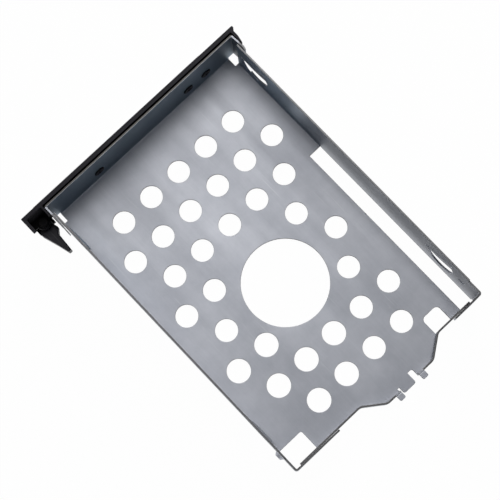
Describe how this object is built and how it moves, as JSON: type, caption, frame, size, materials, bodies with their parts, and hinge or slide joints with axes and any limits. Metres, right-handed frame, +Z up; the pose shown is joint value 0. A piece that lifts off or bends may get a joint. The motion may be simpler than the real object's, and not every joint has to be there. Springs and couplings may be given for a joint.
{
  "type": "hot swap drive caddy",
  "caption": "Open perforated sheet metal drive tray with a plastic front, a swing lever with a side claw and a spring-loaded release button.",
  "frame": {"origin": "on the underside of the floor, at the middle of the bay's width, below the front end of the drive that the tray holds", "axes": "+X to the lever's pivot side, +Y to the rear, where the drive's connectors are, +Z up out of the open bay"},
  "size_m": [0.1198, 0.1652, 0.0274],
  "materials": {
    "tray_steel": "zinc coated sheet, satin",
    "front_plastic": "black, fine matt grain",
    "lever_plastic": "black, glass filled, satin",
    "cover_plastic": "black, fine matt grain",
    "button_plastic": "black, fine matt grain",
    "black_screw": "black oxide",
    "pin_steel": "black oxide",
    "clip_steel": "spring steel",
    "spring_steel": "spring steel wire"
  },
  "bodies": {
    "caddy_frame": {"tray": "tray_steel", "bezel": "front_plastic", "bezel_screw_1": "black_screw", "bezel_screw_2": "black_screw", "bezel_screw_3": "black_screw", "pivot_pin": "pin_steel", "pivot_clip": "clip_steel", "release_spring": "spring_steel"},
    "swing_lever": {"lever": "lever_plastic", "handle_cover": "cover_plastic", "cover_screw_1": "black_screw", "cover_screw_2": "black_screw"},
    "button": {"release_button": "button_plastic"}
  },
  "joints": [
    {"name": "lever_swing", "type": "hinge", "parent": "caddy_frame", "child": "swing_lever", "pos_m": [0.0579, 0.0009, 0.0094], "axis": [0, 0, 1], "range_deg": [0, 13]},
    {"name": "button_slide", "type": "slide", "parent": "caddy_frame", "child": "button", "axis": [-1, 0, 0], "range_m": [0, 0.0022], "stiffness_N_per_m": 400, "springref_m": -0.002, "deforming": ["release_spring"]}
  ]
}
